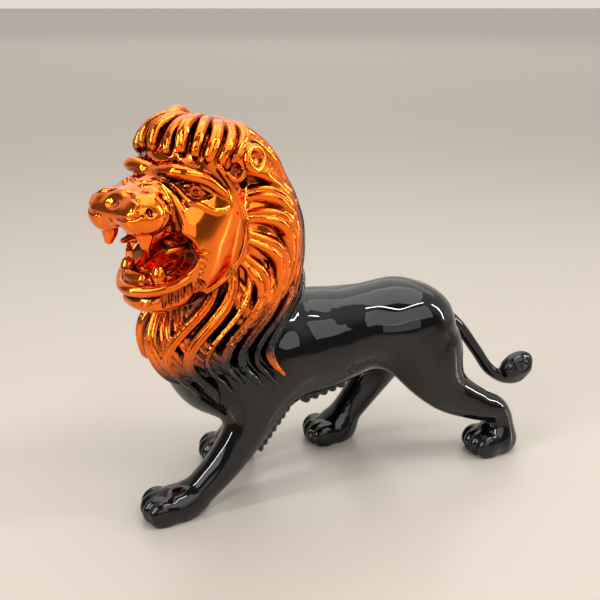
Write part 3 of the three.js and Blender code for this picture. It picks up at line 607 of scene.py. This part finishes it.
def mane(bed):
    """Locks behind the edge of the face on each side, two rings of them further back, a bib on the chest
    and under the chin, and a few that run back from the crown."""
    roots = []
    lengths = []
    sizes = []
    for u in np.linspace(46, -44, 7):
        for s in BOTH_SIDES:
            roots.append(head_point(face_edge_at(u) - 4, 43 * s, u))
            lengths.append(70 - 30 * smooth(-u, -10, 44))
            sizes.append(1.15)
    rings = (
        {"count": 7, "from": 14, "to": 129, "f": -28, "radius": 52, "length": 74, "size": 1.2},
        {"count": 6, "from": 12, "to": 124, "f": -52, "radius": 44, "length": 80, "size": 1.2},
    )
    for ring in rings:
        for angle in np.radians(np.linspace(ring["from"], ring["to"], ring["count"])):
            for s in BOTH_SIDES:
                r = ring["radius"]
                roots.append(head_point(ring["f"], s * r * math.sin(angle), r * math.cos(angle) - 4))
                lengths.append(ring["length"] * (1 + 0.5 * min(0, math.cos(angle))))
                sizes.append(ring["size"])
    for n in range(-2, 3):
        roots.append(point(8 + n * 12, -140, 160 - abs(n) * 8))
        lengths.append(56)
        sizes.append(1.0)
    for f, l in ((26, -31), (36, -19), (41, -7), (41, 7), (36, 19)):
        roots.append(head_point(f, l, -62))
        lengths.append(62)
        sizes.append(1.0)
    for l in (-27, -9, 9, 27):
        roots.append(head_point(2, l, 62))
        lengths.append(92)
        sizes.append(1.2)
    press_locks(roots, lengths, sizes, bed)


def neck_locks(bed):
    """Long wavy locks down each side of the neck. Each drops from under the cheek, sweeps forward, and
    swings back at its tip. Its points start beside the neck and slide sideways onto the bed."""
    shares = np.linspace(0, 1, 10)
    for s in BOTH_SIDES:
        for n in range(NECK_LOCKS):
            wide = 5 + 1.3 * math.sin(2.3 * n)
            fall = (98 - 2 * n + 4 * math.sin(1.7 * n)) * shares
            y = -90 + 10.5 * n - 27 * smooth(fall, 8, 66) + 20 * smooth(fall, 64, 98)
            p = np.stack([np.full(10, 6 + 60.0 * s), y, 186 - fall], axis=1)
            for _ in range(12):
                p[:, 0] -= s * field(p, bed)
            normal = outward(p, bed)
            girth = (0.75 + 0.25 * smooth(shares, 0, 0.3)) * np.sqrt(np.maximum(1 - shares**3, 0.03))
            at = p + normal * (-2 + 5 * smooth(shares, 0, 0.3))[:, None]
            lock = [(q, wide * g, NECK_LOCK_HALF_HEIGHT * g) for q, g in zip(at, girth)]
            sides = np.cross(np.gradient(p, axis=0), normal)
            press(roll(lock, sides, 24, STRANDS_PER_NECK_LOCK, NECK_STRAND_DEPTH), 0.6)


def forelock():
    """Thick tongues of hair side by side that stand on the hairline, round to the ears, and curl back over
    the crown, and a tuft on the crown."""
    for n, turn in enumerate(np.radians(np.linspace(-86, 86, FORELOCK_TONGUES))):
        f, l = math.cos(turn), math.sin(turn)
        f = math.copysign(abs(f) ** 0.7, f)
        l = math.copysign(abs(l) ** 0.9, l)
        low = 43 - 6 * abs(l) ** 3
        lean = 11 * abs(l) ** 3 + 2 * math.sin(2.4 * n) * (1 - abs(l))
        low += 1.6 * math.sin(1.9 * n) * (1 - abs(l))
        wide = 4.9 if n % 2 else 4.0
        press(head_roll([
            (-4 + 27 * f, 40 * l, low - 1, 2.6, 2.2),
            (-4 + 29 * f - lean * 0.1, 41 * l, low + 3, wide * 0.9, 3.8),
            (-5 + 28.5 * f - lean * 0.5, 41 * l, low + 9, wide, 4.6),
            (-6 + 25 * f - lean, 37 * l, low + 15, wide, 4.6),
            (-8 + 15 * f - lean, 27 * l, low + 19, wide, 4.5),
            (-16 - lean, 14 * l, low + 16, 2.5, 2.5),
        ], [-math.sin(turn) * FORWARD + math.cos(turn) * LEFTWARD] * 6, 18, 2, 1.1), 0.4)
    press(head_roll([(11, -10, 57, 5, 4), (6, -10, 62, 5.5, 5), (-1, -11, 64.5, 5, 5), (-9, -12, 62, 4, 4),
                     (-16, -12, 58, 3, 3)], LEFTWARD, 10), 1.5)


def fringes():
    """A twisted cord of hair under the belly that runs out in long strands, and a serrated fringe down the
    back of the stretched front leg."""
    for s in BOTH_SIDES:
        for n in range(BELLY_KNOBS):
            knob = point(8 * s, -10 + n * 7.4, 65.5 + n * 1.9)
            press(lump(knob, 9.5, 4.8, 7.4, leaning_axes(25)), 0.6)
        press(roll([(point(8 * s, 22, 74), 4, 4), (point(9 * s, 36, 78), 3.6, 3.6),
                    (point(10 * s, 50, 81), 1.6, 1.6)], ACROSS_BODY, 10, 2, 0.9), 0.8)
    for share in np.linspace(0, 1, LEG_KNOBS):
        knob = point(36, mix(-29, -57, share), mix(84, 46.5, share))
        press(lump(knob, 6.5, 3.2, 8, leaning_axes(12)), 0.7)


def face_lines():
    """Fine grooves: whisker dashes behind the corners of the mouth, pleats under the lower lip, and two
    small pits on the chin."""
    for s in BOTH_SIDES:
        for n in range(6):
            start = head_point(27 + n * 0.3, 36 * s, -16 - n * 4)
            end = head_point(22 + n * 0.8, 37 * s, -17.5 - n * 4.6)
            dash = onto(np.array([start, mix(start, end, 0.5), end]))
            cut = [(dash[0], 0.8, 0.8), (dash[1], 1.2, 1.2), (dash[2], 0.5, 0.5)]
            carve(roll(cut, UPWARD, 4), 0.4)
        for n in range(7):
            low = -55 + n * 1.6
            pleat = onto(np.array([head_point(44 - n * 3.9, (19 + n * 1.9) * s, u)
                                   for u in (low + 11, low + 5, low)]))
            cut = [(pleat[0], 1.4, 2.2), (pleat[1], 1.4, 2.2), (pleat[2], 0.8, 1.2)]
            carve(roll(cut, FORWARD, 4), 0.4)
    for l in (8, 13):
        carve(lump(onto(np.array([head_point(56, l, -51)]))[0], 1.2, 1.2, 1.8), 0.4)


def body_lines():
    """Fine grooves: two curls and a pit on each side of the tail's tuft, and strokes on each flank."""
    for s in BOTH_SIDES:
        beside_tuft = 7 + 9 * s
        for line in (((178.5, 68), (177, 66), (180, 62), (181.5, 56)),
                     ((187, 61.5), (190, 56), (196, 56.5), (199, 62.5), (195, 66.5))):
            curl = onto(np.array([point(beside_tuft, y, z) for y, z in line]))
            carve(roll([(p, 1.2, 2.2) for p in curl], ACROSS_BODY, 16), 0.5)
        carve(lump(onto(np.array([point(beside_tuft, 193.5, 61)]))[0], 3, 2.6, 2.6), 0.6)
        for n in range(4):
            stroke = onto(np.array([point(34 * s, 20 + n * 7, 96 - n), point(34 * s, 16 + n * 7, 90 - n)]))
            carve(roll([(p, 1.2, 1.6) for p in stroke], ACROSS_BODY, 4), 0.8)


def grid_points(places):
    """Every point of a grid, from its places along each axis."""
    return np.stack(np.meshgrid(*places, indexing="ij"), -1).reshape(-1, 3)


def measure_grid(low, counts):
    """Distances on the whole grid: exact ones near the skin, and one for each block elsewhere."""
    block = GRID_BLOCK
    blocks = np.ceil(counts / block).astype(int)
    corner = grid_points([np.arange(n) * block for n in blocks])
    middle = low + (corner + block / 2) * GRID_STEP
    shared = field(middle)
    values = shared.reshape(blocks).astype(np.float32)
    for axis in range(3):
        values = np.repeat(values, block, axis=axis)
    near = corner[np.abs(shared) < GRID_STEP * block * 1.5]
    inner = grid_points([np.arange(block)] * 3)
    for part in np.array_split(near, len(near) // BLOCKS_AT_ONCE + 1):
        ids = (part[:, None] + inner[None]).reshape(-1, 3)
        values[ids[:, 0], ids[:, 1], ids[:, 2]] = field(low + ids * GRID_STEP)
    height = low[2] + np.arange(values.shape[2]) * GRID_STEP
    return np.maximum(values, -height[None, None].astype(np.float32))


def skin_from_grid(values, low):
    """One point in each cube that the skin passes through, and a four-sided face across each edge of the
    grid that it cuts."""
    shape = np.array(values.shape)
    stride = np.array([shape[1] * shape[2], shape[2], 1])
    flat = values.ravel()
    inside = values < 0
    cubes = []
    places = []
    quads = []
    for axis in range(3):
        near = [slice(None)] * 3
        far = [slice(None)] * 3
        near[axis] = slice(0, -1)
        far[axis] = slice(1, None)
        crossed = np.argwhere(inside[tuple(near)] != inside[tuple(far)])
        a = crossed @ stride
        b = a + stride[axis]
        share = flat[a] / (flat[a] - flat[b])
        place = crossed.astype(float)
        place[:, axis] += share
        u, v = [n for n in range(3) if n != axis]
        around = [a - du * stride[u] - dv * stride[v] for du, dv in ((0, 0), (1, 0), (1, 1), (0, 1))]
        cubes.extend(around)
        places.extend([place] * 4)
        quad = np.stack(around, axis=1)
        flip = (flat[a] < 0) != (axis == 1)
        quad[~flip] = quad[~flip][:, ::-1]
        quads.append(quad)
    cubes = np.concatenate(cubes)
    places = np.concatenate(places)
    ids, inverse = np.unique(cubes, return_inverse=True)
    count = np.bincount(inverse)
    points = np.stack([np.bincount(inverse, places[:, n]) / count for n in range(3)], axis=1)
    faces = np.searchsorted(ids, np.concatenate(quads))
    return low + points * GRID_STEP, faces


def outer_skin(points, faces):
    """The points and faces of the outer skin, without the bubbles trapped between locks of hair."""
    label = np.arange(len(points))
    a = faces.ravel()
    b = np.roll(faces, 1, axis=1).ravel()
    while True:
        lowest = np.minimum(label[a], label[b])
        spread = label.copy()
        np.minimum.at(spread, a, lowest)
        np.minimum.at(spread, b, lowest)
        spread = spread[spread]
        if (spread == label).all():
            break
        label = spread
    largest = np.bincount(label[faces[:, 0]]).argmax()
    keep = label == largest
    place = np.cumsum(keep) - 1
    return points[keep], place[faces[keep[faces[:, 0]]]]


def mesh_from(name, points, faces):
    """A mesh from an array of points and an array of faces, which all have the same number of corners."""
    mesh = bpy.data.meshes.new(name)
    mesh.vertices.add(len(points))
    mesh.vertices.foreach_set("co", np.asarray(points, dtype=np.float32).ravel())
    mesh.loops.add(faces.size)
    mesh.loops.foreach_set("vertex_index", faces.astype(np.int32).ravel())
    mesh.polygons.add(len(faces))
    mesh.polygons.foreach_set("loop_start", np.arange(0, faces.size, faces.shape[1], dtype=np.int32))
    mesh.update(calc_edges=True)
    mesh.validate()
    return mesh


def vertex_array(mesh):
    points = np.empty(len(mesh.vertices) * 3)
    mesh.vertices.foreach_get("co", points)
    return points.reshape(-1, 3)


def store(mesh, name, values):
    """Keep a value for each point, for the material to read."""
    attribute = mesh.attributes.new(name, "FLOAT", "POINT")
    attribute.data.foreach_set("value", np.asarray(values, dtype=np.float32))


def linear(code):
    """A colour from its sRGB hex code."""
    channels = [int(code[n:n + 2], 16) / 255 for n in (1, 3, 5)]
    return tuple(c / 12.92 if c <= 0.04045 else ((c + 0.055) / 1.055) ** 2.4 for c in channels) + (1.0,)


def add_node(tree, kind, settings=(), inputs=(), links=()):
    """A node with its settings, its sockets' values, and links into it."""
    node = tree.nodes.new(kind)
    for name, value in dict(settings).items():
        setattr(node, name, value)
    for socket, value in dict(inputs).items():
        node.inputs[socket].default_value = value
    for socket, source in dict(links).items():
        tree.links.new(source, node.inputs[socket])
    return node


def new_material(name):
    material = bpy.data.materials.new(name)
    material.use_nodes = True
    material.node_tree.nodes.clear()
    return material


def glaze_and_plating():
    """Black gloss glaze, fired like glass over the whole casting, which shows the room sharply on black,
    and a copper-orange metal lustre sprayed over the head and mane. The lustre mirrors the room in orange,
    has painted shade in its grooves and hollows, where it mirrors itself, and thins out where less of it
    fell."""
    material = new_material("black_glaze_copper_lustre")
    tree = material.node_tree
    glaze = add_node(tree, "ShaderNodeBsdfPrincipled", inputs={
        "Base Color": linear(BLACK_GLAZE), "Roughness": 0.03, "IOR": 1.5,
    })
    place = add_node(tree, "ShaderNodeTexCoord")
    wobble = add_node(tree, "ShaderNodeTexNoise", inputs={"Scale": 1 / (WOBBLE_LENGTH * MM), "Detail": 1.0},
                      links={"Vector": place.outputs["Object"]})
    cast = add_node(tree, "ShaderNodeBump", inputs={"Strength": 1.0, "Distance": WOBBLE_DEPTH * MM},
                    links={"Height": wobble.outputs["Fac"]})
    tree.links.new(cast.outputs["Normal"], glaze.inputs["Normal"])
    # Painted shade: the lustre's colour darkens in grooves. This stands in for the shade and the lustre's
    # mirroring of itself there.
    recess = add_node(tree, "ShaderNodeAttribute", {"attribute_name": "recess"})
    groove_shade = add_node(tree, "ShaderNodeMix", {"data_type": "RGBA"}, {
        "A": linear(LUSTRE), "B": linear(PAINTED_GROOVE_SHADE),
    }, {"Factor": recess.outputs["Fac"]})
    # More painted shade, darker, in the mouth and other deep hollows.
    hollow = add_node(tree, "ShaderNodeAttribute", {"attribute_name": "hollow"})
    darker = add_node(tree, "ShaderNodeMix", {"data_type": "RGBA"}, {"B": linear(PAINTED_HOLLOW_SHADE)},
                      {"Factor": hollow.outputs["Fac"], "A": groove_shade.outputs["Result"]})
    lustre = add_node(tree, "ShaderNodeBsdfPrincipled", inputs={
        "Metallic": 1.0, "Roughness": 0.1, "Coat Weight": 0.25, "Coat Roughness": 0.03,
    }, links={"Base Color": darker.outputs["Result"]})
    plating = add_node(tree, "ShaderNodeAttribute", {"attribute_name": "plating"})
    both = add_node(tree, "ShaderNodeMixShader", links={
        0: plating.outputs["Fac"], 1: glaze.outputs["BSDF"], 2: lustre.outputs["BSDF"],
    })
    add_node(tree, "ShaderNodeOutputMaterial", links={"Surface": both.outputs["Shader"]})
    return material


def plating_cover(points, recess, shoulder_lock):
    """How much of the copper lustre is on the surface: all over the head, thinning out down the mane and
    towards its back, thin in the deep grooves of the lower mane, and a touch on the shoulder lock's tip."""
    local = (points - HEAD_CENTRE) @ HEAD_AXES.T
    edge = PLATING_EDGE + PLATING_RISE * np.clip(points[:, 1] - CHEST_FRONT, 0, 200)
    cover = smooth(points[:, 2] - edge, -16, 14)
    cover *= smooth(local[:, 0] + 0.5 * np.clip(local[:, 2] - 10, 0, 60), -58, -42)
    on_lock = smooth(1.2 - field(points, [shoulder_lock]), 0, 1) * smooth(points[:, 2], 128, 110)
    cover = np.maximum(cover, 0.8 * on_lock)
    return np.clip(cover * (1 - 0.85 * recess * smooth(195 - points[:, 2], 0, 60)), 0, 1)


def model_lion():
    """Press the whole figure, and return the hindmost neck lock on the left, whose tip is plated."""
    barrel()
    legs()
    tail()
    mane_core()
    bed = list(clay)
    skull()
    face()
    mouth()
    mane(bed)
    neck_locks(bed)
    shoulder_lock = clay[-1 - NECK_LOCKS]
    forelock()
    ears()
    fringes()
    face_lines()
    body_lines()
    return shoulder_lock


def lion_mesh():
    """The outer skin of the clay, thinned, with its points put back onto the clay and its soles flat."""
    counts = np.ceil((GRID_HIGH - GRID_LOW) / GRID_STEP).astype(int) + 1
    points, faces = outer_skin(*skin_from_grid(measure_grid(GRID_LOW, counts), GRID_LOW))
    rough = bpy.data.objects.new("lion_form", mesh_from("lion_form", points, faces))
    bpy.context.collection.objects.link(rough)
    thin = rough.modifiers.new("thin", "DECIMATE")
    thin.ratio = min(1, TRIANGLES / (2 * len(faces)))
    mesh = bpy.data.meshes.new_from_object(rough.evaluated_get(bpy.context.evaluated_depsgraph_get()))
    bpy.data.objects.remove(rough)
    mesh.name = "lion_casting"
    points = vertex_array(mesh)
    free = points[:, 2] > SOLE_EDGE
    points[free] = onto(points[free], rounds=1)
    points[~free & (points[:, 2] < SOLE_FLAT), 2] = 0
    return mesh, points


def build_lion():
    shoulder_lock = model_lion()
    mesh, points = lion_mesh()
    normals = outward(points, reach=0.5)
    normals[points[:, 2] < 0.05] = DOWN
    # How deep in a groove each point lies. It paints shade into the lustre's colour, and it also thins the
    # plating there.
    recess = np.clip(1 - field(points + normals * GROOVE_PROBE) / GROOVE_OPEN, 0, 1)
    store(mesh, "recess", recess)
    # Painted shade for the mouth and other deep hollows, darker than the shade in the grooves.
    store(mesh, "hollow", smooth(field(points + normals * HOLLOW_PROBE), 9, -1))
    store(mesh, "plating", plating_cover(points, recess, shoulder_lock))
    points = (points - np.array([*CENTRE_SHIFT, 0])) * MM
    mesh.vertices.foreach_set("co", points.astype(np.float32).ravel())
    mesh.polygons.foreach_set("use_smooth", np.ones(len(mesh.polygons), dtype=bool))
    mesh.update()
    mesh.normals_split_custom_set_from_vertices(normals)
    lion = bpy.data.objects.new("lion_casting", mesh)
    bpy.context.collection.objects.link(lion)
    mesh.materials.append(glaze_and_plating())
    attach(lion, "root")
    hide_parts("lion")
    return lion


def build_floor():
    """A plain floor, painted pale with a soft gloss that shows a blurred mirror image of the feet. It is so
    large that it meets the horizon."""
    far = 400.0  # metres
    corners = [(-far, -far, 0), (far, -far, 0), (far, far, 0), (-far, far, 0)]
    mesh = mesh_from("studio_floor", corners, np.array([[0, 1, 2, 3]]))
    floor = bpy.data.objects.new("studio_floor", mesh)
    bpy.context.collection.objects.link(floor)
    material = new_material("pale_floor")
    shader = add_node(material.node_tree, "ShaderNodeBsdfPrincipled", inputs={
        "Base Color": linear(FLOOR_PAINT), "Roughness": 0.28, "IOR": 1.4,
    })
    add_node(material.node_tree, "ShaderNodeOutputMaterial", links={"Surface": shader.outputs["BSDF"]})
    floor.data.materials.append(material)


def softbox(name, place, target, width, height, brightness):
    """A flat lamp that faces the target, with places and sizes in metres. Its brightness is what a mirror
    would show of it, and white paper is 1."""
    light = bpy.data.lights.new(name, "AREA")
    light.shape = "RECTANGLE"
    light.size = width
    light.size_y = height
    light.energy = brightness * math.pi * width * height
    lamp = bpy.data.objects.new(name, light)
    lamp.location = place
    lamp.rotation_euler = (Vector(target) - Vector(place)).to_track_quat("-Z", "Y").to_euler()
    bpy.context.collection.objects.link(lamp)


def build_lights():
    """Broad soft boxes for the key, the face, the shaded side, the top and the far floor, and three thin
    strips that draw the highlights along the back and the legs."""
    softbox("key_softbox", (1.3, 0.35, 1.15), (0, 0, 0.15), 1.5, 1.0, 1.8)
    softbox("face_softbox", (0.7, -1.4, 0.9), (0, 0, 0.15), 0.9, 0.9, 2.6)
    softbox("fill_softbox", (1.6, -0.25, 0.5), (0, 0, 0.2), 1.4, 0.6, 1.0)
    softbox("overhead_softbox", (-0.2, 0.1, 1.7), (0, 0, 0.1), 1.8, 1.4, 1.8)
    softbox("distant_softbox", (-6, 2.5, 4), (-6, 2.5, 0), 9, 6, 0.8)
    softbox("strip_left", (0.2, -1.3, 0.8), (0, 0, 0.15), 0.07, 1.1, 40)
    softbox("strip_right", (0.5, 1.3, 0.7), (0, 0, 0.15), 0.07, 1.1, 40)
    softbox("strip_top", (0.7, 0.3, 1.5), (0, 0, 0.15), 1.1, 0.05, 45)


def build_room():
    """A room that is pale behind the figure and dim in front of it, as gloss needs to look black."""
    world = bpy.data.worlds.new("studio")
    world.use_nodes = True
    tree = world.node_tree
    tree.nodes.clear()
    direction = add_node(tree, "ShaderNodeTexCoord").outputs["Generated"]
    behind = add_node(tree, "ShaderNodeVectorMath", {"operation": "DOT_PRODUCT"},
                      {1: (-0.72, 0.6, 0.35)}, {0: direction})
    room = add_node(tree, "ShaderNodeValToRGB", links={0: behind.outputs["Value"]})
    room.color_ramp.interpolation = "EASE"
    room.color_ramp.elements[0].position = 0.0
    room.color_ramp.elements[0].color = linear(ROOM_IN_FRONT)
    room.color_ramp.elements[1].position = 0.34
    room.color_ramp.elements[1].color = linear(ROOM_BEHIND)
    background = add_node(tree, "ShaderNodeBackground", inputs={"Strength": 1.0},
                          links={"Color": room.outputs["Color"]})
    add_node(tree, "ShaderNodeOutputWorld", links={"Surface": background.outputs["Background"]})
    bpy.context.scene.world = world
    bpy.context.scene.view_settings.view_transform = "Standard"


def build_camera():
    """The photograph's view: 67.5 degrees round from the front to the lion's left, 18 degrees down."""
    data = bpy.data.cameras.new("photo_camera")
    data.lens = LENS
    data.sensor_width = SENSOR
    camera = bpy.data.objects.new("photo_camera", data)
    camera.location = ((CAMERA_PLACE[0] - CENTRE_SHIFT[0]) * MM, (CAMERA_PLACE[1] - CENTRE_SHIFT[1]) * MM,
                       CAMERA_PLACE[2] * MM)
    ahead = Vector((-math.cos(CAMERA_ROUND) * math.cos(CAMERA_DOWN),
                    math.sin(CAMERA_ROUND) * math.cos(CAMERA_DOWN), -math.sin(CAMERA_DOWN)))
    camera.rotation_euler = ahead.to_track_quat("-Z", "Y").to_euler()
    bpy.context.collection.objects.link(camera)
    bpy.context.scene.camera = camera


build_camera()
build_floor()
build_lights()
build_room()
build_lion()
